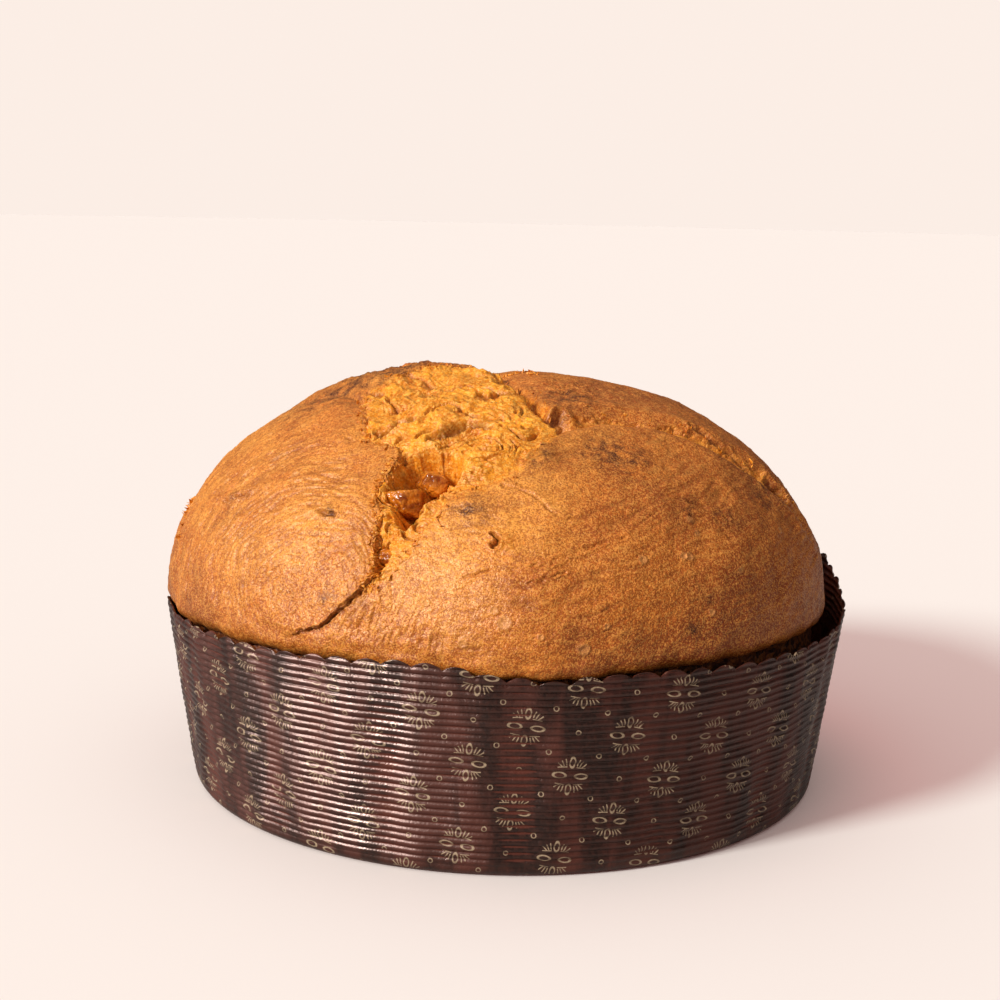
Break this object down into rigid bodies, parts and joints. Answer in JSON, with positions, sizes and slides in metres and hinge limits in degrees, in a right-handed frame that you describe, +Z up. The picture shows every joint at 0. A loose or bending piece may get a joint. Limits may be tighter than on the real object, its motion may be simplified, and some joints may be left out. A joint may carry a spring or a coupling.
{
  "type": "panettone",
  "caption": "Low domed panettone with a torn, golden-brown crust, standing in its fluted round paper baking case.",
  "frame": {"origin": "on the table, under the middle of the paper case", "axes": "+Z up through the crown, -Y towards the front, where the crust tore open, +X to the right of the front"},
  "size_m": [0.2231, 0.2239, 0.1333],
  "materials": {
    "crust": "satin",
    "case_paper": "satin",
    "base_paper": "matte",
    "candied_fruit": "gloss"
  },
  "bodies": {
    "root": {"dough": "crust", "case_wall": "case_paper", "case_base": "base_paper", "fruit_large": "candied_fruit", "fruit_middle": "candied_fruit", "fruit_small": "candied_fruit"}
  },
  "joints": []
}
